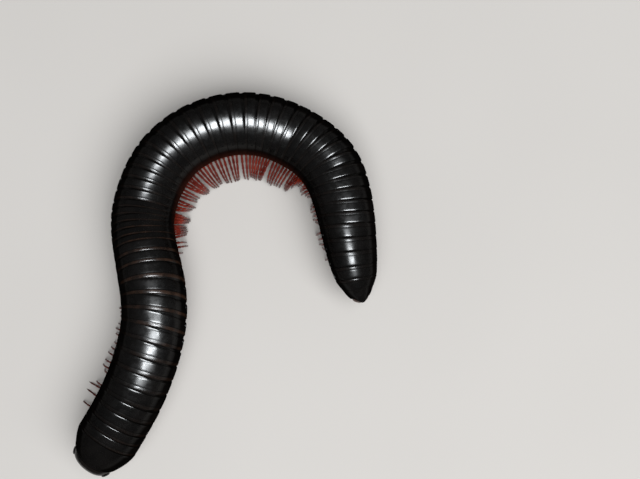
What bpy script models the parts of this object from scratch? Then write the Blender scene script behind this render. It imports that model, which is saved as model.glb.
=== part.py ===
"""A giant millipede at life size: a long round body of rings, bent into a hook, on many short legs.

The body follows one smooth plan line from the tail to the head. Everything is placed by its distance
along that line, its distance to the animal's left, and its height over the floor. Metres, +Z up, the
floor at Z = 0.
"""

import math
import random

import bmesh
import bpy
import numpy as np
from mathutils import Vector

# Plan line of the body's axis, from the tip of the tail to the front of the head
PLAN_POINTS = (
    (0.0340, -0.0047),
    (0.0324, 0.0030),
    (0.0309, 0.0120),
    (0.0293, 0.0207),
    (0.0255, 0.0299),
    (0.0178, 0.0362),
    (0.0088, 0.0395),
    (0.0004, 0.0395),
    (-0.0080, 0.0366),
    (-0.0148, 0.0310),
    (-0.0190, 0.0234),
    (-0.0208, 0.0152),
    (-0.0198, 0.0069),
    (-0.0182, -0.0019),
    (-0.0181, -0.0107),
    (-0.0199, -0.0189),
    (-0.0231, -0.0275),
    (-0.0274, -0.0356),
    (-0.0320, -0.0427),
    (-0.0344, -0.0457),
)

# Moves the model so that the middle of its box stands over the origin
PLAN_SHIFT = (0.0007, 0.0006)

# The body's girth, and how high it is carried
BODY_RADIUS = 0.0078
BELLY_CLEARANCE = 0.0022
TAPER_DROP = 0.35  # share of the taper by which the axis sinks
GIRTH = (  # distance from the tail, share of the body's radius
    (0.0, 0.30),
    (0.0033, 0.50),
    (0.0056, 0.66),
    (0.0090, 0.76),
    (0.0130, 0.83),
    (0.0200, 0.91),
    (0.0270, 0.96),
    (0.0340, 1.00),
    (0.1000, 1.00),
    (0.1120, 1.05),
    (0.1400, 1.03),
    (0.1500, 1.02),
    (0.1560, 1.02),
    (0.1640, 0.97),
)
ROLL = (  # distance from the tail, degrees that the belly turns to the animal's left
    (0.0, 8.0),
    (0.024, 16.0),
    (0.042, 36.0),
    (0.086, 36.0),
    (0.102, 20.0),
    (0.116, 2.0),
    (0.140, -10.0),
    (0.152, -4.0),
    (0.164, 0.0),
)

# Rings, numbered from the head; the collum is the first
RINGS_IN_LENGTHS = (5, 5, 5, 6, 6, 6, 5, 5, 5, 5)  # of the trunk, from the head
COLLUM_LENGTH = 0.0065
COLLUM_REAR = (0.0010, 1.01, 0.0006)  # the rear edge's roll: how far ahead, share of the girth, lean
COLLUM_PROFILE = ((0.55, 0.95), (0.85, 0.87), (1.0, 0.80))  # share of the way ahead, share of the girth
RING_JOINTS = (  # joints between rings, counted from the tail cap, distance from the tail
    (0, 0.0033),
    (1, 0.0062),
    (2, 0.0093),
    (3, 0.0130),
    (5, 0.0199),
    (8, 0.0285),
    (12, 0.0390),
    (19, 0.0563),
    (20, 0.0591),
    (25, 0.0751),
    (27, 0.0813),
    (32, 0.0938),
    (38, 0.1035),
    (40, 0.1090),
    (42, 0.1167),
    (45, 0.1284),
    (47, 0.1365),
    (49, 0.1441),
    (51, 0.1508),
    (53, 0.1558),
)
RING_PROFILE = (  # share of the ring from its front, share of its radius
    (0.00, 0.955),
    (0.45, 0.992),
    (1.00, 1.000),
)
RING_SIDES = 20
BELLY_FLAT = 0.04  # share by which the underside is flatter than round
BELLY_EDGE = 0.8  # cosine, from straight down, where that flat starts
GAP = 0.0003

# Legs
SINGLE_LEG_RINGS = (2, 3, 4)
LEGLESS_TAIL_RINGS = 1
LEG_LENGTH = 0.0104
LEG_ROOT_ANGLE = math.radians(11.0)
LEG_ROOT_DEPTH = 0.95  # share of the body's radius where a leg's span is measured from
LEG_SINK = 0.0009  # and how much deeper its root goes
LEG_SAG = 0.375  # a shallow arc's rise, squared, for each part by which it is longer than its chord
LEG_LOWEST = 0.0009  # the middle line of a leg keeps this far over the floor, but for its foot
LEG_STATIONS = (0.0, 0.40, 0.74, 1.0)  # shares of the leg's span, root to tip
LEG_RADII = (0.00044, 0.00039, 0.00036, 0.00023)
LEG_SIDES = 4
LEG_OFF_BODY = 0.0006
LEG_PAIR_PLACES = (0.30, 0.80)  # shares of the ring, for a ring's two pairs
FEET_DOWN = 0.7  # share of the feet that stand, the others being lifted in step
FEET_LIFT = (0.0004, 0.0012)
BUNCHING = 0.0008
STRAY = 0.0001
LEG_REACH = (  # distance from the tail, how far the left and the right tips stand out from the axis
    (0.005, 0.0040, 0.0040),
    (0.014, 0.0066, 0.0058),
    (0.027, 0.0074, 0.0066),
    (0.030, 0.0088, 0.0064),
    (0.036, 0.0092, 0.0058),
    (0.040, 0.0131, 0.0052),
    (0.080, 0.0138, 0.0050),
    (0.088, 0.0113, 0.0057),
    (0.097, 0.0099, 0.0065),
    (0.107, 0.0094, 0.0078),
    (0.109, 0.0064, 0.0082),
    (0.118, 0.0060, 0.0105),
    (0.135, 0.0060, 0.0108),
    (0.137, 0.0060, 0.0114),
    (0.142, 0.0060, 0.0112),
    (0.144, 0.0060, 0.0098),
    (0.147, 0.0060, 0.0100),
    (0.148, 0.0060, 0.0126),
    (0.153, 0.0060, 0.0126),
    (0.155, 0.0060, 0.0094),
)

# Head, in a frame pitched nose down: across, down the face, and out from the neck
HEAD_PITCH = math.radians(19.0)
NECK_GAP = 0.00045
HEAD_SIDES = 20
HEAD_SQUARENESS = 2.4
HEAD_SECTIONS = (  # out from the neck, half width, half height, how far the middle lies below the neck's
    (0.0000, 0.0056, 0.0055, 0.0003),
    (0.0012, 0.0057, 0.0058, 0.0004),
    (0.0021, 0.0053, 0.0057, 0.0007),
    (0.0028, 0.0046, 0.0052, 0.0010),
    (0.0034, 0.0035, 0.0043, 0.0014),
    (0.0037, 0.0020, 0.0031, 0.0018),
)
EYE_SIZE = (0.0009, 0.0014, 0.0011)
EYE_PLACE = (0.0041, -0.0021, 0.0017)  # across, down the face, out from the neck
ANTENNA_ROOT = (0.0024, 0.0012, 0.0034)
ANTENNA_ARTICLES = (  # length, turn from straight ahead to the side, turn towards the floor, in degrees
    (0.0007, 40.0, 18.0),
    (0.0016, 78.0, 48.0),
    (0.0015, 104.0, 62.0),
    (0.0014, 130.0, 68.0),
    (0.0014, 148.0, 62.0),
    (0.0012, 160.0, 50.0),
    (0.0008, 165.0, 36.0),
)
ANTENNA_PROFILE = ((0.04, 0.00042), (0.80, 0.00052))  # share of an article's length, radius
ANTENNA_SIDES = 6
MANDIBLE_SIZE = (0.0012, 0.0026, 0.0016)
MANDIBLE_PLACE = (0.0045, 0.0025, 0.0014)
CHIN_SIZE = (0.0030, 0.0010, 0.0015)
CHIN_PLACE = (0.0, 0.0062, 0.0016)
LIP_NOTCH_SIZE = (0.0007, 0.0011, 0.0012)
LIP_NOTCH_PLACE = (0.0, 0.0058, 0.0036)

# Tail cap
TAIL_SIDES = 8
CAP_END = 0.0021  # how far back the ring itself goes
CAP_PROFILE = ((0.0, 1.0), (0.45, 0.96), (1.0, 0.80))  # share of the way back, share of the girth
CAP_LOBE = (  # back, half width, up, half thickness
    (0.0008, 0.0026, 0.0025, 0.0007),
    (0.0022, 0.0019, 0.0023, 0.0005),
    (0.0031, 0.0010, 0.0019, 0.0004),
    (0.0036, 0.0003, 0.0016, 0.0002),
)
VALVE_SECTIONS = ((0.0, 0.0017), (0.0006, 0.0015), (0.0010, 0.0011), (0.0012, 0.0005))  # back, radius
VALVE_WIDTH = 1.1
VALVE_RISE = -0.0003
VALVE_STEPS = 6
SCALE_SECTIONS = ((0.0, 0.0012, 0.0003), (0.0004, 0.0010, 0.0003), (0.0008, 0.0005, 0.0002))
SCALE_DROP = -0.0026

SHELL_BLACK = (0.012, 0.010, 0.009, 1.0)
EDGE_BROWN = (0.10, 0.035, 0.020, 1.0)
LEG_RED = (0.30, 0.045, 0.022, 1.0)
EYE_GREY = (0.05, 0.05, 0.055, 1.0)

rng = random.Random(12)


def clear_scene():
    for old in list(bpy.data.objects):
        bpy.data.objects.remove(old)


def reads(table, place, column=1):
    """The value of a table's column at a place, straight between its rows."""
    return float(np.interp(place, [row[0] for row in table], [row[column] for row in table]))


class PlanLine:
    """A natural cubic spline through the plan points, read by the distance along it."""

    def __init__(self, points, step=0.0002):
        points = np.array(points) + PLAN_SHIFT
        knots = np.r_[0.0, np.cumsum(np.linalg.norm(np.diff(points, axis=0), axis=1))]
        gaps = np.diff(knots)
        count = len(points)
        system = np.eye(count)
        right = np.zeros((count, 2))
        for i in range(1, count - 1):
            system[i, i - 1 : i + 2] = gaps[i - 1], 2 * (gaps[i - 1] + gaps[i]), gaps[i]
            slopes = np.diff(points[i - 1 : i + 2], axis=0) / gaps[i - 1 : i + 1, None]
            right[i] = 6 * (slopes[1] - slopes[0])
        bend = np.linalg.solve(system, right)
        at = np.linspace(0.0, knots[-1], int(knots[-1] / step))
        span = np.clip(np.searchsorted(knots, at, side="right") - 1, 0, count - 2)
        gap = gaps[span, None]
        after = (at - knots[span])[:, None]
        before = gap - after
        line = (
            (bend[span] * before**3 + bend[span + 1] * after**3) / (6 * gap)
            + (points[span] / gap - bend[span] * gap / 6) * before
            + (points[span + 1] / gap - bend[span + 1] * gap / 6) * after
        )
        self.line = line
        self.along = np.r_[0.0, np.cumsum(np.linalg.norm(np.diff(line, axis=0), axis=1))]
        self.length = float(self.along[-1])
        self.heading = np.gradient(line, axis=0)
        turn = np.unwrap(np.arctan2(self.heading[:, 1], self.heading[:, 0]))
        self.curve = np.gradient(turn, self.along)

    def at(self, distance):
        """The point, the direction towards the head and the direction to the left."""
        place = [float(np.interp(distance, self.along, self.line[:, k])) for k in (0, 1)]
        ahead = [float(np.interp(distance, self.along, self.heading[:, k])) for k in (0, 1)]
        forward = Vector((*ahead, 0.0)).normalized()
        beyond = distance - min(max(distance, 0.0), self.length)
        point = Vector((*place, 0.0)) + forward * beyond
        return point, forward, Vector((-forward.y, forward.x, 0.0))

    def room(self, distance, left):
        """How much closer together things stand at a distance to the left, on the inside of a bend."""
        return 1.0 - left * float(np.interp(distance, self.along, self.curve))


PLAN = PlanLine(PLAN_POINTS)


def girth(distance):
    return BODY_RADIUS * reads(GIRTH, distance)


def axis_height(distance):
    return BELLY_CLEARANCE + BODY_RADIUS - TAPER_DROP * (BODY_RADIUS - girth(distance))


def placed(distance, left, height):
    """A point by its distance along the plan line, its distance to the left and its height."""
    point, _, to_left = PLAN.at(distance)
    return point + to_left * left + Vector((0.0, 0.0, height))


def material(name, colour, roughness):
    made = bpy.data.materials.get(name) or bpy.data.materials.new(name)
    made.use_nodes = True
    shader = made.node_tree.nodes["Principled BSDF"]
    shader.inputs["Base Color"].default_value = colour
    shader.inputs["Roughness"].default_value = roughness
    shader.inputs["Metallic"].default_value = 0.0
    return made


def shell():
    return material("shell", SHELL_BLACK, 0.22)


def shell_edge():
    return material("shell_edge", EDGE_BROWN, 0.28)


def limb():
    return material("limb", LEG_RED, 0.30)


def eye_glass():
    return material("eye", EYE_GREY, 0.25)


def loft(name, sections, finish):
    """A closed body through rings of points, all with as many points, its ends capped."""
    mesh = bmesh.new()
    rings = [[mesh.verts.new(point) for point in section] for section in sections]
    for ring, after in zip(rings, rings[1:]):
        for i in range(len(ring)):
            j = (i + 1) % len(ring)
            mesh.faces.new((ring[i], ring[j], after[j], after[i]))
    mesh.faces.new(list(reversed(rings[0])))
    mesh.faces.new(rings[-1])
    bmesh.ops.recalc_face_normals(mesh, faces=mesh.faces)
    data = bpy.data.meshes.new(name)
    mesh.to_mesh(data)
    mesh.free()
    data.materials.append(finish)
    made = bpy.data.objects.new(name, data)
    bpy.context.scene.collection.objects.link(made)
    return made


def applied(node):
    """Makes the node's modifiers part of its mesh."""
    graph = bpy.context.evaluated_depsgraph_get()
    solid = bpy.data.meshes.new_from_object(node.evaluated_get(graph))
    node.modifiers.clear()
    node.data = solid


def keep_largest_body(node):
    """Removes every closed surface of the node's mesh but the largest."""
    mesh = bmesh.new()
    mesh.from_mesh(node.data)
    left = set(mesh.verts)
    bodies = []
    while left:
        found = {left.pop()}
        edge_of_search = list(found)
        while edge_of_search:
            for edge in edge_of_search.pop().link_edges:
                for vert in edge.verts:
                    if vert in left:
                        left.remove(vert)
                        found.add(vert)
                        edge_of_search.append(vert)
        bodies.append(found)
    bodies.sort(key=len)
    for body in bodies[:-1]:
        bmesh.ops.delete(mesh, geom=list(body), context="VERTS")
    mesh.to_mesh(node.data)
    mesh.free()


def fuse(node, pieces):
    """Joins closed pieces to a node as one closed body, and removes them."""
    group = bpy.data.collections.new(node.name + "_pieces")
    bpy.context.scene.collection.children.link(group)
    for piece in pieces:
        bpy.context.scene.collection.objects.unlink(piece)
        group.objects.link(piece)
    join = node.modifiers.new("join", "BOOLEAN")
    join.operation = "UNION"
    join.operand_type = "COLLECTION"
    join.collection = group
    join.solver = "MANIFOLD"
    bpy.context.view_layer.update()
    applied(node)
    for piece in pieces:
        bpy.data.objects.remove(piece)
    bpy.data.collections.remove(group)
    keep_largest_body(node)


def cut(node, cutters):
    """Takes the cutters' shapes out of a node, and removes them."""
    for cutter in cutters:
        carve = node.modifiers.new("cut", "BOOLEAN")
        carve.operation = "DIFFERENCE"
        carve.object = cutter
    bpy.context.view_layer.update()
    applied(node)
    for cutter in cutters:
        bpy.data.objects.remove(cutter)
    keep_largest_body(node)


def ring_edges():
    """Distances of the rings' edges from the tail, from the collum's rear edge back to the tail cap."""
    count, place = zip(*RING_JOINTS)
    return [float(np.interp(joint, count, place)) for joint in range(count[-1], -1, -1)]


def body_section(distance, share, sides=RING_SIDES, lean=0.0):
    """Points round the body, from the back by way of the left side. Lean moves the back ahead."""
    radius = girth(distance) * share
    roll = math.radians(reads(ROLL, distance))
    height = axis_height(distance)
    points = []
    for k in range(sides):
        angle = 2 * math.pi * k / sides
        belly = max(0.0, -math.cos(angle) - BELLY_EDGE) / (1.0 - BELLY_EDGE)
        reach = radius * (1.0 - BELLY_FLAT * belly)
        ahead = distance + lean * math.cos(angle)
        points.append(placed(ahead, reach * math.sin(angle - roll), height + reach * math.cos(angle - roll)))
    return points


def leg(distance, side, lift, swing):
    """One leg: out of the belly beside its middle line, in a low arch, to the floor or just over it."""
    radius = girth(distance)
    height = axis_height(distance)
    roll = math.radians(reads(ROLL, distance))
    angle = math.pi - side * LEG_ROOT_ANGLE - roll
    outward = Vector((math.sin(angle), math.cos(angle)))
    axis = Vector((0.0, height))
    root = axis + outward * radius * LEG_ROOT_DEPTH
    reach = reads(LEG_REACH, distance, 1 if side > 0 else 2)
    tip = Vector((side * reach, lift))
    span = (tip - root).length
    under_belly = side * root.x < 0
    arch = 0.0 if under_belly else span * math.sqrt(LEG_SAG * max(0.0, LEG_LENGTH / span - 1.0))
    centres = [(0.0, root - outward * LEG_SINK)]
    for share in LEG_STATIONS[1:]:
        point = root.lerp(tip, share) + Vector((0.0, 4.0 * arch * share * (1.0 - share)))
        off = point - axis
        least = radius + LEG_OFF_BODY
        if share < 1.0 and off.length < least:
            point = axis + off.normalized() * least
        if share < 1.0:
            point.y = max(point.y, LEG_LOWEST)
        centres.append((share, point))
    sections = []
    for k, (share, point) in enumerate(centres):
        before = centres[max(k - 1, 0)][1]
        after = centres[min(k + 1, len(centres) - 1)][1]
        along = (after - before).normalized()
        across = Vector((-along.y, along.x))
        if k == len(centres) - 1 and lift == 0.0:
            across = Vector((1.0, 0.0))
        ring = []
        for corner in range(LEG_SIDES):
            turn = 2 * math.pi * (corner + 0.5) / LEG_SIDES
            spot = point + across * LEG_RADII[k] * math.cos(turn)
            ahead = distance + swing * share + LEG_RADII[k] * math.sin(turn)
            ring.append(placed(ahead, spot.x, spot.y))
        sections.append(ring)
    return loft("leg", sections, limb())


def legs_of_length(edges, first_ring, last_ring):
    """The legs of one length of the trunk. They lean towards its middle, so each length carries one bunch."""
    roots = []
    for i in range(len(edges) - 1):
        ring = first_ring + i
        front, rear = edges[i], edges[i + 1]
        if ring > last_ring - LEGLESS_TAIL_RINGS:
            continue
        places = LEG_PAIR_PLACES[1:] if ring in SINGLE_LEG_RINGS else LEG_PAIR_PLACES
        roots += [front + (rear - front) * place for place in places]
    middle = (edges[0] + edges[-1]) / 2
    half = (edges[0] - edges[-1]) / 2
    made = []
    for root in roots:
        lean = (middle - root) / half * BUNCHING
        for side in (1, -1):
            reach = side * reads(LEG_REACH, root, 1 if side > 0 else 2)
            free = min(1.0, max(0.0, 2.0 * PLAN.room(root, reach) - 1.0))
            lift = 0.0 if rng.random() < FEET_DOWN else rng.uniform(*FEET_LIFT)
            made.append(leg(root, side, lift, free * (lean + rng.uniform(-STRAY, STRAY))))
    return made


def trunk(edges):
    """The ringed trunk in lengths, each with its legs. Every rear edge stands proud of the next ring."""
    last_ring = 1 + sum(RINGS_IN_LENGTHS)
    first = 0
    for number, count in enumerate(RINGS_IN_LENGTHS, 1):
        own = edges[first : first + count + 1]
        sections = []
        for i in range(count):
            front, rear = own[i], own[i + 1]
            if i == 0:
                front -= GAP / 2
            if i == count - 1:
                rear += GAP / 2
            for share, radius in RING_PROFILE:
                sections.append(body_section(front + (rear - front) * share, radius))
        node = loft(f"trunk_{number:02d}", sections, shell())
        fuse(node, legs_of_length(own, first + 2, last_ring))
        first += count


def collum(rear):
    """The shield behind the head: long on the back, short under the belly, drawn in to the front."""
    ahead, wider, lean = COLLUM_REAR
    sections = [body_section(rear + GAP / 2, 1.0), body_section(rear + ahead, wider, lean=lean)]
    for share, radius in COLLUM_PROFILE:
        slant = girth(rear + COLLUM_LENGTH) * radius * math.tan(HEAD_PITCH) * share
        sections.append(body_section(rear + COLLUM_LENGTH * share - slant, radius, lean=slant))
    loft("collum", sections, shell())


class HeadFrame:
    """Places a point of the head: to the left, down the face, and out from the neck's plane."""

    def __init__(self, neck):
        point, forward, to_left = PLAN.at(neck)
        up = Vector((0.0, 0.0, 1.0))
        self.out = forward * math.cos(HEAD_PITCH) - up * math.sin(HEAD_PITCH)
        self.down = -up * math.cos(HEAD_PITCH) - forward * math.sin(HEAD_PITCH)
        self.left = to_left
        half = girth(neck) * COLLUM_PROFILE[-1][1]
        top = placed(neck, 0.0, axis_height(neck) + half)
        self.middle = top + self.down * half / math.cos(HEAD_PITCH)

    def at(self, left, down, out):
        return self.middle + self.left * left + self.down * down + self.out * (out + NECK_GAP)

    def ball(self, name, size, place, finish, rings=8, sides=10):
        """A closed egg shape, its three half sizes across, down the face and out."""
        sections = []
        for k in range(1, rings):
            tilt = math.pi * k / rings
            ring = []
            for j in range(sides):
                turn = 2 * math.pi * j / sides
                ring.append(
                    self.at(
                        place[0] + size[0] * math.sin(tilt) * math.cos(turn),
                        place[1] + size[1] * math.cos(tilt),
                        place[2] + size[2] * math.sin(tilt) * math.sin(turn),
                    )
                )
            sections.append(ring)
        return loft(name, sections, finish)


def head(neck):
    """The head capsule, with room cut for the eyes, the feelers' roots and the mandibles' bases."""
    frame = HeadFrame(neck)
    sections = []
    for out, half_width, half_height, below in HEAD_SECTIONS:
        ring = []
        for k in range(HEAD_SIDES):
            turn = 2 * math.pi * k / HEAD_SIDES
            across, down = math.cos(turn), math.sin(turn)
            power = 2.0 / HEAD_SQUARENESS
            left = half_width * math.copysign(abs(across) ** power, across)
            low = below + half_height * math.copysign(abs(down) ** power, down)
            ring.append(frame.at(left, low, out))
        sections.append(ring)
    capsule = loft("head", sections, shell())
    cutters = []
    for side, word in ((1, "left"), (-1, "right")):
        eye = (side * EYE_PLACE[0], *EYE_PLACE[1:])
        frame.ball(f"eye_{word}", EYE_SIZE, eye, eye_glass())
        cutters.append(frame.ball("room", [x + GAP for x in EYE_SIZE], eye, shell()))
        base = (side * MANDIBLE_PLACE[0], *MANDIBLE_PLACE[1:])
        frame.ball(f"mandible_{word}", MANDIBLE_SIZE, base, shell())
        cutters.append(frame.ball("room", [x + GAP for x in MANDIBLE_SIZE], base, shell()))
        antenna(frame, f"antenna_{word}", side)
        root = (side * ANTENNA_ROOT[0], *ANTENNA_ROOT[1:])
        cutters.append(frame.ball("room", [ANTENNA_PROFILE[1][1] + GAP] * 3, root, shell()))
    frame.ball("chin_plate", CHIN_SIZE, CHIN_PLACE, shell_edge())
    cutters.append(frame.ball("room", [x + GAP for x in CHIN_SIZE], CHIN_PLACE, shell()))
    cutters.append(frame.ball("notch", LIP_NOTCH_SIZE, LIP_NOTCH_PLACE, shell()))
    cut(capsule, cutters)


def antenna(frame, name, side):
    """A feeler of seven articles, each widest at its far end, elbowed outwards and down."""
    point = frame.at(side * ANTENNA_ROOT[0], ANTENNA_ROOT[1], ANTENNA_ROOT[2])
    sections = []
    for length, outward, downward in ANTENNA_ARTICLES:
        aside, low = math.radians(outward), math.radians(downward)
        flat = frame.out * math.cos(aside) + frame.left * side * math.sin(aside)
        along = (flat * math.cos(low) + Vector((0.0, 0.0, -1.0)) * math.sin(low)).normalized()
        across = along.cross(Vector((0.0, 0.0, 1.0))).normalized()
        up = across.cross(along)
        for share, radius in ANTENNA_PROFILE:
            ring = []
            for k in range(ANTENNA_SIDES):
                turn = 2 * math.pi * k / ANTENNA_SIDES
                spot = point + along * length * share
                ring.append(spot + across * radius * math.cos(turn) + up * radius * math.sin(turn))
            sections.append(ring)
        point = point + along * length
    loft(name, sections, limb())


class TailFrame:
    """Places a point of the tail's end: to the left, up from the body's axis, and back from the last ring."""

    def __init__(self, front):
        self.front = front
        self.height = axis_height(front)

    def at(self, left, up, back):
        return placed(self.front - back, left, self.height + up)


def tail_cap(front):
    """The last ring, drawn out to a blunt point, with the two valves and the scale behind it."""
    frame = TailFrame(front)
    sections = [
        body_section(front - max(CAP_END * share, GAP / 2), radius)
        for share, radius in CAP_PROFILE
    ]
    cap = loft("telson", sections, shell())
    lobe = []
    for back, half_width, up, half_thick in CAP_LOBE:
        ring = []
        for k in range(TAIL_SIDES):
            turn = 2 * math.pi * k / TAIL_SIDES
            ring.append(frame.at(half_width * math.cos(turn), up + half_thick * math.sin(turn), back))
        lobe.append(ring)
    fuse(cap, [loft("lobe", lobe, shell())])
    for side, word in ((1, "left"), (-1, "right")):
        valve(frame, f"valve_{word}", side)
    scale = []
    for back, half_width, half_thick in SCALE_SECTIONS:
        ring = []
        for k in range(TAIL_SIDES):
            turn = 2 * math.pi * k / TAIL_SIDES
            up = SCALE_DROP + half_thick * math.sin(turn)
            ring.append(frame.at(half_width * math.cos(turn), up, CAP_END + GAP + back))
        scale.append(ring)
    loft("subanal_scale", scale, shell_edge())


def valve(frame, name, side):
    """Half of the dome that closes the anus, flat along the upright slit."""
    sections = []
    for back, radius in VALVE_SECTIONS:
        ring = []
        for k in range(VALVE_STEPS + 1):
            turn = math.pi * (k / VALVE_STEPS - 0.5)
            left = side * (GAP / 2 + radius * VALVE_WIDTH * math.cos(turn))
            ring.append(frame.at(left, VALVE_RISE + radius * math.sin(turn), CAP_END + GAP + back))
        sections.append(ring)
    loft(name, sections, shell_edge())


def build():
    clear_scene()
    edges = ring_edges()
    collum(edges[0])
    head(edges[0] + COLLUM_LENGTH)
    trunk(edges)
    tail_cap(edges[-1])


build()
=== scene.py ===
import math
import random

import bpy
import numpy as np
from mathutils import Matrix, Vector


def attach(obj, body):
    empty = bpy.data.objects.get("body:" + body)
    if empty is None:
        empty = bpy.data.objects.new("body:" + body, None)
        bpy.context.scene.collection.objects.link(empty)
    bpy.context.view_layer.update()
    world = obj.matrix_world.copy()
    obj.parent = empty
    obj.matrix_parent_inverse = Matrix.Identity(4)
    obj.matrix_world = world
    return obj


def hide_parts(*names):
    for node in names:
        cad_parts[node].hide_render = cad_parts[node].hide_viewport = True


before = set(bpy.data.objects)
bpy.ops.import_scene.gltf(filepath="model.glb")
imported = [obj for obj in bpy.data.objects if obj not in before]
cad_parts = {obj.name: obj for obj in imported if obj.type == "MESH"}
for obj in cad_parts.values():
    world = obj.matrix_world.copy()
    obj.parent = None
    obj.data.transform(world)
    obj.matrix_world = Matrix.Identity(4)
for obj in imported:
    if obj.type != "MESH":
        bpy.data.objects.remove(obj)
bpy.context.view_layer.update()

# Plan line of the body's axis, from the tip of the tail to the front of the head
PLAN_SHIFT = (0.0007, 0.0006)
PLAN_POINTS = (
    (0.0340, -0.0047),
    (0.0324, 0.0030),
    (0.0309, 0.0120),
    (0.0293, 0.0207),
    (0.0255, 0.0299),
    (0.0178, 0.0362),
    (0.0088, 0.0395),
    (0.0004, 0.0395),
    (-0.0080, 0.0366),
    (-0.0148, 0.0310),
    (-0.0190, 0.0234),
    (-0.0208, 0.0152),
    (-0.0198, 0.0069),
    (-0.0182, -0.0019),
    (-0.0181, -0.0107),
    (-0.0199, -0.0189),
    (-0.0231, -0.0275),
    (-0.0274, -0.0356),
    (-0.0320, -0.0427),
    (-0.0344, -0.0457),
)
BODY_RADIUS = 0.0078
BELLY_CLEARANCE = 0.0022
TAPER_DROP = 0.35
GIRTH = (  # distance from the tail, share of the body's radius
    (0.0, 0.30),
    (0.0033, 0.50),
    (0.0056, 0.66),
    (0.0090, 0.76),
    (0.0130, 0.83),
    (0.0200, 0.91),
    (0.0270, 0.96),
    (0.0340, 1.00),
    (0.1000, 1.00),
    (0.1120, 1.05),
    (0.1400, 1.03),
    (0.1500, 1.02),
    (0.1560, 1.02),
    (0.1640, 0.97),
)
ROLL = (  # distance from the tail, degrees that the belly turns to the animal's left
    (0.0, 8.0),
    (0.024, 16.0),
    (0.042, 36.0),
    (0.086, 36.0),
    (0.102, 20.0),
    (0.116, 2.0),
    (0.140, -10.0),
    (0.152, -4.0),
    (0.164, 0.0),
)
RINGS_IN_LENGTHS = (5, 5, 5, 6, 6, 6, 5, 5, 5, 5)  # of the trunk, from the head
COLLUM_LENGTH = 0.0065
RING_JOINTS = (  # joints between rings, counted from the tail cap, distance from the tail
    (0, 0.0033),
    (1, 0.0062),
    (2, 0.0093),
    (3, 0.0130),
    (5, 0.0199),
    (8, 0.0285),
    (12, 0.0390),
    (19, 0.0563),
    (20, 0.0591),
    (25, 0.0751),
    (27, 0.0813),
    (32, 0.0938),
    (38, 0.1035),
    (40, 0.1090),
    (42, 0.1167),
    (45, 0.1284),
    (47, 0.1365),
    (49, 0.1441),
    (51, 0.1508),
    (53, 0.1558),
)
RING_LEAN = (  # distance from the tail, shift to the head for each part below the back, and to the right
    (0.000, 0.00, 0.00),
    (0.010, 0.02, -0.05),
    (0.025, -0.05, -0.12),
    (0.042, -0.06, -0.12),
    (0.050, 0.00, 0.00),
    (0.060, 0.10, 0.08),
    (0.070, 0.16, 0.10),
    (0.098, 0.17, 0.10),
    (0.106, 0.34, 0.00),
    (0.112, 0.33, -0.05),
    (0.118, 0.22, -0.15),
    (0.124, 0.16, -0.15),
    (0.130, 0.08, -0.08),
    (0.140, 0.00, 0.00),
)
BELLY_FLAT = 0.04
BELLY_EDGE = 0.8

# One ring, turned: pitches ahead of its rear edge, share of the body's radius
RING_PROFILE = (
    (0.10, 0.962),
    (0.02, 0.970),
    (-0.008, 0.980),
    (0.000, 0.988),
    (0.020, 0.9925),
    (0.055, 0.9968),
    (0.095, 0.9995),
    (0.140, 1.0008),
    (0.190, 1.0010),
    (0.33, 1.0003),
    (0.56, 0.9995),
    (0.620, 0.9985),
    (0.655, 0.9962),
    (0.680, 0.9950),
    (0.705, 0.9958),
    (0.740, 0.9968),
    (0.800, 0.9968),
    (0.860, 0.9958),
    (0.900, 0.9930),
    (0.940, 0.9870),
    (0.970, 0.9790),
    (1.000, 0.9700),
    (1.08, 0.962),
    (1.50, 0.945),
    (1.50, 0.905),
    (0.80, 0.920),
    (0.10, 0.940),
)
RING_SIDES = 80
PORE_ANGLE = math.radians(82.0)  # from the back
PORE_PLACE = 0.30
FIRST_PORE_RING = 6

BROWN_BANDS = (  # distance from the tail, how brown the bands in front of the seams are
    (0.000, 0.08),
    (0.090, 0.10),
    (0.103, 0.60),
    (0.108, 1.00),
    (0.122, 1.00),
    (0.130, 0.45),
    (0.140, 0.12),
)

# Legs
SINGLE_LEG_RINGS = (2, 3, 4)
LEGLESS_TAIL_RINGS = 1
LEG_LENGTH = 0.0104
LEG_ROOT_ANGLE = math.radians(11.0)
LEG_ROOT_DEPTH = 0.93
LEG_OFF_BODY = 0.0005
LEG_PAIR_PLACES = (0.30, 0.80)
LEG_ARTICLES = (  # share of the leg's length where an article ends, radius of its wide end
    (0.12, 0.00040),
    (0.22, 0.00037),
    (0.40, 0.00034),
    (0.56, 0.00031),
    (0.69, 0.00028),
    (0.81, 0.00025),
    (0.95, 0.00021),
)
LEG_SIDES = 8
LEG_PATH_POINTS = 25
LEG_ROOT_RUN = 0.0016  # how far a leg first goes straight out of the belly
LEG_ROOT_LEAN = 0.0012
LEG_LEAN = (0.55, 0.25)  # its turn outwards and upwards from there
KNEE_INWARD = 0.0006  # the knee's place seen from the foot
KNEE_RISE = 0.0052
KNEE_RANGE = 2.5
KNEE_TRIALS = 12
ROOT_SHARE = 0.22  # of the leg, inside the belly and near it
TOE_HEIGHT = 0.0005
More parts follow.
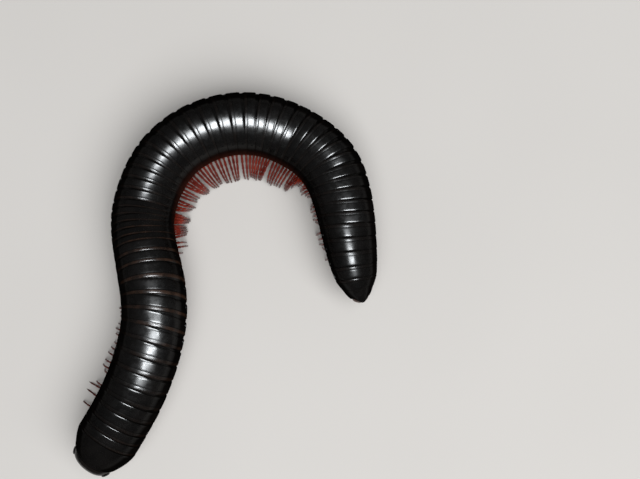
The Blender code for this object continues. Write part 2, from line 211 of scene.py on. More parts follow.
LEG_REACH = (  # distance from the tail, how far the left and the right tips stand out from the axis
    (0.005, 0.0044, 0.0040),
    (0.014, 0.0074, 0.0058),
    (0.027, 0.0084, 0.0066),
    (0.030, 0.0088, 0.0064),
    (0.036, 0.0092, 0.0058),
    (0.040, 0.0124, 0.0052),
    (0.056, 0.0132, 0.0050),
    (0.066, 0.0134, 0.0050),
    (0.080, 0.0127, 0.0050),
    (0.088, 0.0110, 0.0057),
    (0.097, 0.0099, 0.0065),
    (0.107, 0.0094, 0.0078),
    (0.109, 0.0064, 0.0082),
    (0.118, 0.0060, 0.0105),
    (0.135, 0.0060, 0.0108),
    (0.137, 0.0060, 0.0114),
    (0.142, 0.0060, 0.0112),
    (0.144, 0.0060, 0.0098),
    (0.146, 0.0060, 0.0100),
    (0.147, 0.0060, 0.0126),
    (0.153, 0.0060, 0.0126),
    (0.155, 0.0060, 0.0094),
)
BUNCH_LENGTHS = (0.0040, 0.0085)
BUNCH_PULLS = (0.10, 0.42)
LEFT_FEET = (  # distances from the tail between which left feet stand together, inside the bend
    (0.0530, 0.0620),
    (0.0638, 0.0660),
    (0.0675, 0.0715),
    (0.0723, 0.0780),
    (0.0808, 0.0845),
    (0.0869, 0.0890),
    (0.0905, 0.0932),
    (0.0965, 0.0983),
    (0.1006, 0.1036),
    (0.1046, 0.1075),
)

# Head
HEAD_PITCH = math.radians(19.0)
NECK_GAP = 0.00045
COLLUM_MOUTH = 0.80
COLLUM_PROFILE = (
    (0.08, 0.950),
    (0.02, 0.966),
    (-0.008, 0.984),
    (0.000, 0.996),
    (0.025, 1.004),
    (0.060, 1.005),
    (0.100, 1.002),
    (0.25, 0.994),
    (0.40, 0.975),
    (0.55, 0.950),
    (0.70, 0.916),
    (0.82, 0.880),
    (0.90, 0.852),
    (0.930, 0.838),
    (0.950, 0.836),
    (0.975, 0.828),
    (0.995, 0.812),
    (1.000, 0.795),
    (0.990, 0.775),
    (0.90, 0.780),
    (0.50, 0.880),
)
HEAD_SQUARENESS = 2.4
HEAD_LOOPS = (  # out from the neck, half width, half height, how far the middle lies below the neck's
    (-0.0012, 0.0050, 0.0050, 0.0003),
    (0.0000, 0.0056, 0.0055, 0.0003),
    (0.0012, 0.0057, 0.0058, 0.0004),
    (0.0021, 0.0053, 0.0057, 0.0007),
    (0.0028, 0.0046, 0.0052, 0.0010),
    (0.0034, 0.0035, 0.0043, 0.0014),
    (0.0037, 0.0020, 0.0031, 0.0018),
    (0.0038, 0.0008, 0.0014, 0.0019),
)
HEAD_SIDES = 48
EYE_SIZE = (0.00125, 0.0010, 0.00032)  # half height, half width, how far it bulges
EYE_PLACE = (0.0049, 0.0021, 0.0017)
EYE_FACING = (0.86, 0.22, 0.46)
OCELLUS_RADIUS = 0.00012
OCELLUS_PITCH = 0.00023
ANTENNA_ROOT = (0.0024, -0.0012, 0.0034)
ANTENNA_ARTICLES = (  # length, turn from straight ahead to the side, turn towards the floor, in degrees
    (0.0007, 40.0, 18.0),
    (0.0016, 78.0, 48.0),
    (0.0015, 104.0, 62.0),
    (0.0014, 130.0, 68.0),
    (0.0014, 148.0, 62.0),
    (0.0012, 160.0, 50.0),
    (0.0008, 165.0, 36.0),
)
ANTENNA_RADIUS = 0.00050
ANTENNA_SIDES = 16
MANDIBLE_SIZE = (0.0012, 0.0026, 0.0016)
MANDIBLE_PLACE = (0.0045, -0.0025, 0.0014)
CHIN_SIZE = (0.0030, 0.0010, 0.0015)
CHIN_PLACE = (0.0, -0.0062, 0.0016)

# Tail
CAP_END = 0.0023
CAP_PROFILE = (  # lengths of the cap ahead of the last joint, share of the body's radius
    (1.30, 0.93),
    (0.60, 0.955),
    (0.10, 0.985),
    (0.00, 0.990),
    (-0.20, 0.985),
    (-0.45, 0.975),
    (-0.70, 0.950),
    (-0.88, 0.910),
    (-0.96, 0.885),
    (-1.00, 0.850),
    (-1.00, 0.790),
    (-0.90, 0.770),
    (0.00, 0.860),
    (1.30, 0.890),
)
CAP_LOBE = 0.0014  # how far the lobe over the anus is drawn out
CAP_LOBE_DROP = 0.00045
VALVE_SIZE = (0.00205, 0.00195, 0.0013)
VALVE_RISE = -0.0003
GAP = 0.0003
SCALE_SIZE = (0.0012, 0.0003, 0.0008)
SCALE_DROP = -0.0026

# Finishes
SHELL_TONES = (0.0034, 0.0029, 0.0027, 1), (0.0016, 0.0014, 0.0013, 1)
SHELL_BROWN = (0.036, 0.018, 0.011, 1)
FLANK_RED = (0.060, 0.015, 0.009, 1)
GROOVE_BLACK = (0.002, 0.0015, 0.0013, 1)
HEAD_TONES = (0.0065, 0.0048, 0.0040, 1), (0.0028, 0.0022, 0.0020, 1)
HEAD_LIP_BROWN = (0.060, 0.017, 0.009, 1)
SEAM_BLACK = (0.002, 0.0015, 0.0015, 1)
LEG_TONES = (0.24, 0.029, 0.015, 1), (0.105, 0.012, 0.008, 1), (0.034, 0.006, 0.004, 1)
FEELER_TONES = (0.10, 0.026, 0.015, 1), (0.05, 0.013, 0.009, 1), (0.018, 0.007, 0.005, 1)
TAIL_TONES = (0.060, 0.020, 0.011, 1), (0.022, 0.009, 0.006, 1)
MOUTH_TONES = (0.045, 0.016, 0.010, 1), (0.016, 0.007, 0.005, 1)
EYE_TONES = (0.014, 0.0135, 0.014, 1), (0.006, 0.0055, 0.006, 1)
FLOOR_TONES = (0.57, 0.56, 0.55, 1), (0.63, 0.62, 0.61, 1)
BAND_START = (0.70, 0.76)  # along a ring from its rear edge
BAND_END = (0.97, 0.90)
GROOVE_PLACE = 0.68
GROOVE_HALF_WIDTH = 0.035
LIP_EDGE = (0.13, 0.05)
HOOP_WAVES = 170.0
SIDE_LINE_WAVES = 210.0
SHELL_RELIEF = 0.000018
HEAD_RELIEF = 0.00002
PLAIN_RELIEF = 0.000015
LEG_RELIEF = 0.000012

# Camera and studio
CAMERA_PLACE = (0.02365 + PLAN_SHIFT[0], 0.0108 + PLAN_SHIFT[1], 0.233)
CAMERA_FOCUS = 889.0  # focal length in pixels of a frame 640 wide
SENSOR_WIDTH = 36.0
IMAGE_WIDTH = 640
KEY_PLACE = (0.25, -0.28, 0.95)
KEY_SIZE = (1.2, 1.2)
KEY_POWER = 17.0
KEY_COLOUR = (1.0, 0.99, 0.97)
SKY_COLOUR = (0.93, 0.94, 0.96, 1)
SKY_STRENGTH = 0.09
FLOOR_SIZE = 4.0
SHINE_COLOUR = (0.93, 0.97, 1.0)
SHINE_HEIGHT = 0.12
SHINE_LAMPS = (  # place over the floor, width and depth, power, the trunk lengths that it shines on
    (-0.0085, 0.0400, 0.028, 0.042, 0.210, (6, 7)),
    (-0.0140, 0.0370, 0.030, 0.020, 0.125, (5,)),
    (0.0120, -0.0415, 0.060, 0.012, 0.185, (2, 3)),
    (0.0230, -0.0240, 0.034, 0.022, 0.120, (10,)),
    (0.0760, -0.0340, 0.090, 0.030, 0.420, (9,)),
    (0.0950, 0.0250, 0.060, 0.060, 0.400, (7, 8)),
    (0.0150, 0.0140, 0.075, 0.030, 0.270, (1, 2)),
)

rng = random.Random(5)


# Modelling helpers
def deselect():
    bpy.ops.object.select_all(action="DESELECT")


def activate(piece):
    deselect()
    piece.select_set(True)
    bpy.context.view_layer.objects.active = piece


def edit(piece):
    activate(piece)
    bpy.ops.object.mode_set(mode="EDIT")
    bpy.ops.mesh.select_mode(type="VERT")


def leave_edit():
    bpy.ops.object.mode_set(mode="OBJECT")


def placed_in_mesh():
    bpy.ops.object.transform_apply(location=True, rotation=True, scale=True)


def turned(name, profile, sides):
    """A tube round the Y axis: a circle extruded from loop to loop, each loop resized."""
    deselect()
    place, radius = profile[0]
    bpy.ops.mesh.primitive_circle_add(
        vertices=sides, radius=radius, location=(0, place, 0), rotation=(math.pi / 2, 0, 0)
    )
    placed_in_mesh()
    piece = bpy.context.object
    piece.name = name
    edit(piece)
    bpy.ops.mesh.select_all(action="SELECT")
    for next_place, next_radius in profile[1:]:
        move = (0, next_place - place, 0)
        bpy.ops.mesh.extrude_edges_move(TRANSFORM_OT_translate={"value": move})
        scale = next_radius / radius
        bpy.ops.transform.resize(value=(scale, 1, scale), center_override=(0, next_place, 0))
        place, radius = next_place, next_radius
    return piece


def ends_closed():
    """In edit mode: caps the open ends, turns all faces outwards and leaves edit mode."""
    bpy.ops.mesh.select_all(action="SELECT")
    bpy.ops.mesh.fill_holes(sides=0)
    bpy.ops.mesh.normals_make_consistent(inside=False)
    leave_edit()


def faced_outward(piece):
    edit(piece)
    bpy.ops.mesh.select_all(action="SELECT")
    bpy.ops.mesh.normals_make_consistent(inside=False)
    leave_edit()


def closed_tube(name, profile, sides):
    """A turned tube with a wall: its last loop is drawn on to its first and merged with it."""
    piece = turned(name, profile + profile[:1], sides)
    bpy.ops.mesh.select_all(action="SELECT")
    bpy.ops.mesh.remove_doubles(threshold=0.00001)
    bpy.ops.mesh.normals_make_consistent(inside=False)
    leave_edit()
    return piece


def ball(name, size, place, segments=32, rings=20):
    deselect()
    bpy.ops.mesh.primitive_uv_sphere_add(
        segments=segments, ring_count=rings, radius=1.0, location=place, scale=size
    )
    placed_in_mesh()
    piece = bpy.context.object
    piece.name = name
    return piece


def points_of(mesh):
    points = np.empty(len(mesh.vertices) * 3, np.float64)
    mesh.vertices.foreach_get("co", points)
    return points.reshape(-1, 3)


def put_points(mesh, points):
    mesh.vertices.foreach_set("co", points.astype(np.float32).ravel())


def mark(mesh, name, values):
    """Keeps one number for each point of a mesh, for its material to read."""
    layer = mesh.attributes.get(name) or mesh.attributes.new(name, "FLOAT", "POINT")
    layer.data.foreach_set("value", np.asarray(values, np.float32))


def copied(template, name, shape):
    """A copy with its own mesh, its points sent where the shape function puts them."""
    mesh = template.data.copy()
    mesh.name = name
    put_points(mesh, shape(points_of(mesh)))
    piece = bpy.data.objects.new(name, mesh)
    bpy.context.scene.collection.objects.link(piece)
    return piece


def joined(name, pieces):
    deselect()
    for piece in pieces:
        piece.select_set(True)
    bpy.context.view_layer.objects.active = pieces[0]
    bpy.ops.object.join()
    piece = bpy.context.object
    piece.name = name
    piece.data.name = name
    return piece


def smooth(piece, angle):
    activate(piece)
    bpy.ops.object.shade_smooth_by_angle(angle=math.radians(angle))


def finished(piece, material, nodes=(), angle=50.0):
    """Gives a piece its finish and says what it rides on and stands for."""
    smooth(piece, angle)
    piece.data.materials.clear()
    piece.data.materials.append(material)
    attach(piece, "root")
    if nodes:
        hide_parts(*nodes)
    return piece


def discard(piece):
    bpy.data.objects.remove(piece)


# The body's line
def reads(table, place, column=1):
    return np.interp(place, [row[0] for row in table], [row[column] for row in table])


class PlanLine:
    """A natural cubic spline through the plan points, read by the distance along it."""

    def __init__(self, points, step=0.0002):
        points = np.array(points) + PLAN_SHIFT
        knots = np.r_[0.0, np.cumsum(np.linalg.norm(np.diff(points, axis=0), axis=1))]
        gaps = np.diff(knots)
        count = len(points)
        system = np.eye(count)
        right = np.zeros((count, 2))
        for i in range(1, count - 1):
            system[i, i - 1 : i + 2] = gaps[i - 1], 2 * (gaps[i - 1] + gaps[i]), gaps[i]
            slopes = np.diff(points[i - 1 : i + 2], axis=0) / gaps[i - 1 : i + 1, None]
            right[i] = 6 * (slopes[1] - slopes[0])
        bend = np.linalg.solve(system, right)
        at = np.linspace(0.0, knots[-1], int(knots[-1] / step))
        span = np.clip(np.searchsorted(knots, at, side="right") - 1, 0, count - 2)
        gap = gaps[span, None]
        after = (at - knots[span])[:, None]
        before = gap - after
        self.line = (
            (bend[span] * before**3 + bend[span + 1] * after**3) / (6 * gap)
            + (points[span] / gap - bend[span] * gap / 6) * before
            + (points[span + 1] / gap - bend[span + 1] * gap / 6) * after
        )
        self.along = np.r_[0.0, np.cumsum(np.linalg.norm(np.diff(self.line, axis=0), axis=1))]
        self.length = float(self.along[-1])
        self.heading = np.gradient(self.line, axis=0)

    def at(self, distance):
        """Points on the floor, and unit directions ahead and to the left, one row each."""
        distance = np.atleast_1d(np.asarray(distance, float))
        place = np.stack([np.interp(distance, self.along, self.line[:, k]) for k in (0, 1)], 1)
        ahead = np.stack([np.interp(distance, self.along, self.heading[:, k]) for k in (0, 1)], 1)
        ahead /= np.linalg.norm(ahead, axis=1)[:, None]
        beyond = distance - np.clip(distance, 0.0, self.length)
        place = place + ahead * beyond[:, None]
        left = np.stack([-ahead[:, 1], ahead[:, 0]], 1)
        return place, ahead, left


PLAN = PlanLine(PLAN_POINTS)


def girth(distance):
    return BODY_RADIUS * reads(GIRTH, distance)


def axis_height(distance):
    return BELLY_CLEARANCE + BODY_RADIUS - TAPER_DROP * (BODY_RADIUS - girth(distance))


def roll_at(distance):
    return np.radians(reads(ROLL, distance))


def placed(distance, left, height):
    """Points by distance along the plan line, distance to the left and height."""
    place, _, to_left = PLAN.at(distance)
    flat = place + to_left * np.atleast_1d(left)[:, None]
    return np.column_stack([flat, np.broadcast_to(height, len(flat))])


def ring_edges():
    """Distances of the rings' edges from the tail, from the collum's rear edge to the tail cap."""
    count, place = zip(*RING_JOINTS)
    return np.interp(np.arange(count[-1], -1, -1), count, place)


EDGES = ring_edges()


def trunk_lengths():
    """The number of each length of the trunk, with the places of its rings' front edges."""
    first = 0
    for number, count in enumerate(RINGS_IN_LENGTHS, 1):
        yield number, range(first, first + count)
        first += count


def angles_of(points):
    """Round the body, as a share of a half turn from the back: the left side is positive."""
    return np.arctan2(points[:, 0], points[:, 2]) / math.pi


def with_flat_belly(points):
    turn = np.cos(angles_of(points) * math.pi)
    belly = np.clip((-turn - BELLY_EDGE) / (1.0 - BELLY_EDGE), 0.0, 1.0)
    flat = 1.0 - BELLY_FLAT * belly
    return points * np.column_stack([flat, np.ones_like(flat), flat])


# Materials
def add(tree, kind, **values):
    """A shader node with its properties, and its inputs by their place or name."""
    node = tree.nodes.new(kind)
    for key, value in values.items():
        if key.startswith("in_"):
            name = key[3:].replace("_", " ")
            socket = node.inputs[int(name)] if name.isdigit() else node.inputs[name]
            if isinstance(value, bpy.types.NodeSocket):
                tree.links.new(value, socket)
            else:
                socket.default_value = value
        else:
            setattr(node, key, value)
    return node


def maths(tree, operation, first, second=0.0, third=0.0):
    return add(tree, "ShaderNodeMath", operation=operation, in_0=first, in_1=second, in_2=third).outputs[0]


def ramp(tree, value, low, high, to_low=0.0, to_high=1.0):
    """A smooth step of a value between two places."""
    node = add(tree, "ShaderNodeMapRange", interpolation_type="SMOOTHSTEP", in_0=value)
    node.inputs["From Min"].default_value = low
    node.inputs["From Max"].default_value = high
    node.inputs["To Min"].default_value = to_low
    node.inputs["To Max"].default_value = to_high
    return node.outputs[0]


def mixed(tree, share, first, second):
    node = tree.nodes.new("ShaderNodeMix")
    node.data_type = "RGBA"
    for socket, value in ((node.inputs[0], share), (node.inputs[6], first), (node.inputs[7], second)):
        if isinstance(value, bpy.types.NodeSocket):
            tree.links.new(value, socket)
        else:
            socket.default_value = value
    return node.outputs[2]


def noise(tree, where, scale, detail=3.0, roughness=0.55):
    return add(
        tree, "ShaderNodeTexNoise", in_Vector=where, in_Scale=scale, in_Detail=detail, in_Roughness=roughness
    ).outputs["Fac"]


def place_in(tree):
    return add(tree, "ShaderNodeTexCoord").outputs["Object"]


def read_mark(tree, name):
    return add(tree, "ShaderNodeAttribute", attribute_name=name).outputs["Fac"]


def new_group(name, inputs, outputs):
    group = bpy.data.node_groups.new(name, "ShaderNodeTree")
    for label, kind, value in inputs:
        socket = group.interface.new_socket(label, in_out="INPUT", socket_type=kind)
        if value is not None:
            socket.default_value = value
    for label, kind in outputs:
        group.interface.new_socket(label, in_out="OUTPUT", socket_type=kind)
    return group, group.nodes.new("NodeGroupInput"), group.nodes.new("NodeGroupOutput")


def use_group(tree, group, **values):
    node = tree.nodes.new("ShaderNodeGroup")
    node.node_tree = group
    for key, value in values.items():
        socket = node.inputs[key.replace("_", " ")]
        if isinstance(value, bpy.types.NodeSocket):
            tree.links.new(value, socket)
        else:
            socket.default_value = value
    return node


def cuticle_group():
    """Cloudy tone, fine grain and faint scratches of hard polished cuticle."""
    group, inside, outside = new_group(
        "cuticle",
        (("Tone", "NodeSocketColor", None), ("Deep Tone", "NodeSocketColor", None),
         ("Gloss", "NodeSocketFloat", 0.2), ("Pits", "NodeSocketFloat", 0.5)),
        (("Color", "NodeSocketColor"), ("Roughness", "NodeSocketFloat"), ("Height", "NodeSocketFloat")),
    )
    where = place_in(group)
    clouds = noise(group, where, 260.0, 4.0)
    tone = mixed(group, ramp(group, clouds, 0.35, 0.68), inside.outputs["Deep Tone"], inside.outputs["Tone"])
    group.links.new(tone, outside.inputs["Color"])
    smears = noise(group, where, 700.0, 3.0)
    uneven = maths(group, "MULTIPLY_ADD", ramp(group, smears, 0.3, 0.75), 0.10, inside.outputs["Gloss"])
    group.links.new(uneven, outside.inputs["Roughness"])
    grain = maths(group, "MULTIPLY", noise(group, where, 3800.0, 2.0), inside.outputs["Pits"])
    group.links.new(grain, outside.inputs["Height"])
    return group


def new_material(name, specular=0.5, coat=0.0, coat_roughness=0.1):
    material = bpy.data.materials.new(name)
    material.use_nodes = True
    tree = material.node_tree
    shader = tree.nodes["Principled BSDF"]
    shader.inputs["Specular IOR Level"].default_value = specular
    shader.inputs["Coat Weight"].default_value = coat
    shader.inputs["Coat Roughness"].default_value = coat_roughness
    return material, tree, shader


def bumped(tree, shader, height, distance):
    bump = add(tree, "ShaderNodeBump", in_Height=height, in_Distance=distance, in_Strength=1.0)
    tree.links.new(bump.outputs["Normal"], shader.inputs["Normal"])


def shell_material(cuticle):
    """Black polished rings: a smooth rear lip, a brown band in front of the seam that is stronger on the
    animal's left side as a painted sheen, and fine lines on the sides.
    """
    material, tree, shader = new_material("shell_black")
    along = read_mark(tree, "along")
    around = maths(tree, "ABSOLUTE", read_mark(tree, "around"))
    each = read_mark(tree, "each")
    tone, deep_tone = SHELL_TONES
    base = use_group(tree, cuticle, Tone=tone, Deep_Tone=deep_tone, Gloss=0.22, Pits=0.20)
    patchy = noise(tree, place_in(tree), 420.0, 3.0)
    band = maths(tree, "MULTIPLY", ramp(tree, along, *BAND_START), ramp(tree, along, *BAND_END))
    # How brown each band is: real brown margins that vary from ring to ring and in patches.
    band_brown_and_sheen = maths(tree, "MULTIPLY", ramp(tree, patchy, 0.35, 0.65, 0.25, 1.0), each)
    # The band is stronger on the animal's left side and weaker on its right. This is a painted sheen laid
    # over the brown margins.
    band_brown_and_sheen = maths(tree, "MULTIPLY", band_brown_and_sheen, ramp(tree, read_mark(tree, "around"), -0.30, 0.12, 0.25, 1.0))
    tint = mixed(tree, maths(tree, "MULTIPLY", band, band_brown_and_sheen), base.outputs["Color"], SHELL_BROWN)
    low = ramp(tree, around, 0.50, 0.84)
    tint = mixed(tree, maths(tree, "MULTIPLY", low, 0.80), tint, FLANK_RED)
    from_groove = maths(tree, "ABSOLUTE", maths(tree, "SUBTRACT", along, GROOVE_PLACE))
    groove = ramp(tree, from_groove, GROOVE_HALF_WIDTH, 0.0)
    tint = mixed(tree, maths(tree, "MULTIPLY", groove, 0.6), tint, GROOVE_BLACK)
    tree.links.new(tint, shader.inputs["Base Color"])
    lip = ramp(tree, along, *LIP_EDGE)
    sheen = maths(tree, "SUBTRACT", 1.0, groove)
    rim = add(tree, "ShaderNodeLayerWeight", in_Blend=0.5).outputs["Facing"]
    sheen = maths(tree, "MULTIPLY", sheen, ramp(tree, rim, 0.05, 0.46, 0.50, 0.0))
    dull = maths(tree, "MULTIPLY_ADD", lip, -0.04, base.outputs["Roughness"])
    dull = maths(tree, "MULTIPLY_ADD", groove, 0.20, dull)
    dull = maths(tree, "MULTIPLY_ADD", low, 0.10, dull)
    tree.links.new(dull, shader.inputs["Roughness"])
    tree.links.new(sheen, shader.inputs["Specular IOR Level"])
    hoops = maths(tree, "SINE", maths(tree, "MULTIPLY", along, HOOP_WAVES))
    hoops = maths(tree, "MULTIPLY", maths(tree, "MULTIPLY", hoops, band), 0.08)
    lines = maths(tree, "SINE", maths(tree, "MULTIPLY", read_mark(tree, "around"), SIDE_LINE_WAVES))
    lines = maths(tree, "POWER", maths(tree, "ABSOLUTE", lines), 0.4)
    behind = maths(tree, "MULTIPLY", ramp(tree, along, 0.64, 0.60), ramp(tree, around, 0.58, 0.70))
    lines = maths(tree, "MULTIPLY", maths(tree, "MULTIPLY", lines, behind), 1.6)
    height = maths(tree, "ADD", maths(tree, "ADD", hoops, lines), base.outputs["Height"])
    bumped(tree, shader, height, SHELL_RELIEF)
    return material


def leg_material(cuticle, name, tone, deep_tone, dark):
    """Leg cuticle, darker at the joints and towards the claw."""
    material, tree, shader = new_material(name, specular=0.5, coat=0.15, coat_roughness=0.12)
    along = read_mark(tree, "along")
    each = read_mark(tree, "each")
    joint = read_mark(tree, "joint")
    base = use_group(tree, cuticle, Tone=tone, Deep_Tone=deep_tone, Gloss=0.24, Pits=0.3)
    tint = mixed(tree, ramp(tree, along, 0.50, 0.97, 0.0, 0.85), base.outputs["Color"], dark)
    tint = mixed(tree, maths(tree, "MULTIPLY", joint, 0.55), tint, dark)
    tint = mixed(tree, maths(tree, "MULTIPLY", each, 0.55), tint, deep_tone)
    tree.links.new(tint, shader.inputs["Base Color"])
    tree.links.new(base.outputs["Roughness"], shader.inputs["Roughness"])
    bumped(tree, shader, base.outputs["Height"], LEG_RELIEF)
    return material


def plain_material(cuticle, name, tone, deep_tone, gloss):
    material, tree, shader = new_material(name, specular=0.45)
    base = use_group(tree, cuticle, Tone=tone, Deep_Tone=deep_tone, Gloss=gloss, Pits=0.4)
    tree.links.new(base.outputs["Color"], shader.inputs["Base Color"])
    tree.links.new(base.outputs["Roughness"], shader.inputs["Roughness"])
    bumped(tree, shader, base.outputs["Height"], PLAIN_RELIEF)
    return material


def head_material(cuticle):
    """The head's black, browner towards the lip, with a fine seam down the brow."""
    material, tree, shader = new_material("head_black", specular=0.45)
    across = maths(tree, "ABSOLUTE", read_mark(tree, "across"))
    upward = read_mark(tree, "upward")
    tone, deep_tone = HEAD_TONES
    base = use_group(tree, cuticle, Tone=tone, Deep_Tone=deep_tone, Gloss=0.22, Pits=0.3)
    tint = mixed(tree, ramp(tree, upward, -1.5, -5.4), base.outputs["Color"], HEAD_LIP_BROWN)
    seam = maths(tree, "MULTIPLY", ramp(tree, across, 0.13, 0.03), ramp(tree, upward, -0.6, 0.4))
    tint = mixed(tree, maths(tree, "MULTIPLY", seam, 0.6), tint, SEAM_BLACK)
    tree.links.new(tint, shader.inputs["Base Color"])
    tree.links.new(base.outputs["Roughness"], shader.inputs["Roughness"])
    height = maths(tree, "MULTIPLY_ADD", seam, -2.5, base.outputs["Height"])
    bumped(tree, shader, height, HEAD_RELIEF)
    return material


def floor_material():
    material, tree, shader = new_material("studio_floor", specular=0.2)
    where = place_in(tree)
    tint = mixed(tree, noise(tree, where, 9.0, 2.0), *FLOOR_TONES)
    tree.links.new(tint, shader.inputs["Base Color"])
    shader.inputs["Roughness"].default_value = 0.8
    return material


# Rings
def ring_template():
    """One ring round the Y axis, one pitch long, its front drawn on to slide into the ring ahead."""
    piece = closed_tube("ring_template", RING_PROFILE, RING_SIDES)
    points = points_of(piece.data)
    mark(piece.data, "along", points[:, 1])
    mark(piece.data, "around", angles_of(points))
    mark(piece.data, "each", np.zeros(len(points)))
    return piece


def with_pores(template):
    """The same ring with a scent pore on each side: a face inset twice and pushed in."""
    piece = copied(template, "pored_template", lambda points: points)
    edit(piece)
    bpy.ops.mesh.select_mode(type="FACE")
    for side in (1, -1):
        bpy.ops.mesh.select_all(action="DESELECT")
        leave_edit()
        target = Vector((side * math.sin(PORE_ANGLE), PORE_PLACE, math.cos(PORE_ANGLE)))
        face = min(piece.data.polygons, key=lambda face: (face.center - target).length)
        face.select = True
        bpy.ops.object.mode_set(mode="EDIT")
        bpy.ops.mesh.inset(thickness=0.012, depth=0.0)
        bpy.ops.mesh.inset(thickness=0.006, depth=0.003)
        bpy.ops.mesh.inset(thickness=0.004, depth=-0.014)
    bpy.ops.mesh.select_mode(type="VERT")
    leave_edit()
    return piece


def ring_shape(front, rear, twist, swell):
    """Sends a ring's points on to the body, between two distances from the tail."""
    pitch = front - rear
    middle = (front + rear) / 2
    height = float(axis_height(middle))
    roll = float(roll_at(middle)) + twist

    def shape(points):
        points = with_flat_belly(points)
        forward = (points[:, 1] - 0.5) * pitch
        wide = girth(middle + forward) * swell
        side = points[:, 0] * wide
        up = points[:, 2] * wide
        turned_side = side * math.cos(roll) - up * math.sin(roll)
        turned_up = side * math.sin(roll) + up * math.cos(roll)
        below = girth(middle + forward) - turned_up
        shift = reads(RING_LEAN, middle + forward) * below
        shift -= reads(RING_LEAN, middle + forward, 2) * turned_side
        place, ahead, left = PLAN.at(middle + shift)
        flat = place + forward[:, None] * ahead + turned_side[:, None] * left
        return np.column_stack([flat, height + turned_up])

    return shape


def rings(shell):
    plain = ring_template()
    pored = with_pores(plain)
    for number, places in trunk_lengths():
        made = []
        for i in places:
            template = pored if i + 2 >= FIRST_PORE_RING else plain
            twist = math.radians(rng.uniform(-1.2, 1.2))
            swell = 1.0 + rng.uniform(-0.003, 0.003)
            ring = copied(template, "ring", ring_shape(EDGES[i], EDGES[i + 1], twist, swell))
            brown = float(reads(BROWN_BANDS, EDGES[i])) * rng.uniform(0.6, 1.0)
            mark(ring.data, "each", np.full(len(ring.data.vertices), brown))
            made.append(ring)
        piece = joined(f"rings_{number:02d}", made)
        finished(piece, shell, [f"trunk_{number:02d}"], 35.0)
    discard(plain)
    discard(pored)


# Legs
def leg_template():
    """A straight leg along Y: seven articles, each narrow at its root and wide at its end, and a claw."""
    profile = [(0.0, LEG_ARTICLES[0][1] * 1.15)]
    start = 0.0
    for end, radius in LEG_ARTICLES:
        span = end - start
        profile += [
            (start + span * 0.06, radius * 0.74),
            (start + span * 0.28, radius * 0.92),
            (start + span * 0.80, radius * 1.04),
            (start + span * 0.97, radius * 0.86),
        ]
        start = end
    tip = LEG_ARTICLES[-1][1]
    profile += [(0.955, tip * 0.62), (0.975, tip * 0.40), (1.0, tip * 0.12)]
    scaled = tuple((place * LEG_LENGTH, radius) for place, radius in profile)
    piece = turned("leg_template", scaled, LEG_SIDES)
    ends_closed()
    share = points_of(piece.data)[:, 1] / LEG_LENGTH
    ends = np.array([0.0] + [end for end, _ in LEG_ARTICLES])
    near = np.min(np.abs(share[:, None] - ends[None, :]), axis=1)
    mark(piece.data, "along", share)
    mark(piece.data, "joint", np.clip(1.0 - near / 0.02, 0.0, 1.0))
    mark(piece.data, "each", np.zeros(len(share)))
    return piece


def leg_path(distance, side, tip):
    """Side and height of a leg's middle line: down and out of the belly, over a knee, to its foot."""
    radius = float(girth(distance))
    axis = np.array([0.0, float(axis_height(distance))])
    angle = math.pi - side * LEG_ROOT_ANGLE - float(roll_at(distance))
    outward = np.array([math.sin(angle), math.cos(angle)])
    root = axis + outward * radius * LEG_ROOT_DEPTH
    lean = np.array([side * LEG_LEAN[0], LEG_LEAN[1]])
    share = np.linspace(0.0, 1.0, LEG_PATH_POINTS)[:, None]

    def bent(knee):
        first = root + outward * LEG_ROOT_RUN + lean * LEG_ROOT_LEAN * knee
        second = tip + np.array([-side * KNEE_INWARD, KNEE_RISE]) * knee
        line = (
            root * (1 - share) ** 3
            + first * 3 * share * (1 - share) ** 2
            + second * 3 * share**2 * (1 - share)
            + tip * share**3
        )
        away = line - axis
        far = np.linalg.norm(away, axis=1)[:, None]
        least = radius + LEG_OFF_BODY
        pushed = axis + away / far * np.maximum(far, least)
        line = np.where(share > ROOT_SHARE, pushed, line)
        line[:, 1] = np.maximum(line[:, 1], TOE_HEIGHT * (1 - share[:, 0]) + tip[1])
        return line

    low, high = 0.0, KNEE_RANGE
    for _ in range(KNEE_TRIALS):
        knee = (low + high) / 2
        length = np.linalg.norm(np.diff(bent(knee), axis=0), axis=1).sum()
        low, high = (knee, high) if length < LEG_LENGTH else (low, knee)
    return bent(knee)


def leg_shape(distance, side, tip, swing):
    """Bends a straight leg along its path and swings its foot along the body."""
    line = leg_path(distance, side, tip)
    run = np.r_[0.0, np.cumsum(np.linalg.norm(np.diff(line, axis=0), axis=1))]
    run *= LEG_LENGTH / run[-1]
    slope = np.gradient(line, run, axis=0)

    def shape(points):
        place = np.clip(points[:, 1], 0.0, LEG_LENGTH)
        centre = np.stack([np.interp(place, run, line[:, k]) for k in (0, 1)], 1)
        ahead = np.stack([np.interp(place, run, slope[:, k]) for k in (0, 1)], 1)
        ahead /= np.linalg.norm(ahead, axis=1)[:, None]
        across = np.stack([-ahead[:, 1], ahead[:, 0]], 1)
        spot = centre + across * points[:, [2]]
        share = place / LEG_LENGTH
        where = distance + swing * share**1.3
        placed_at = placed(where, spot[:, 0], np.maximum(spot[:, 1], 0.0))
        _, forward, _ = PLAN.at(where)
        placed_at[:, :2] += forward * points[:, [0]]
        return placed_at

    return shape


def leg_roots():
    """Distance of every pair of legs, with the number of the trunk length that it grows on."""
    last = 1 + sum(RINGS_IN_LENGTHS)
    for length, places in trunk_lengths():
        for i in places:
            ring = i + 2
            if ring > last - LEGLESS_TAIL_RINGS:
                continue
            for place in LEG_PAIR_PLACES[1:] if ring in SINGLE_LEG_RINGS else LEG_PAIR_PLACES:
                yield length, EDGES[i] + (EDGES[i + 1] - EDGES[i]) * place


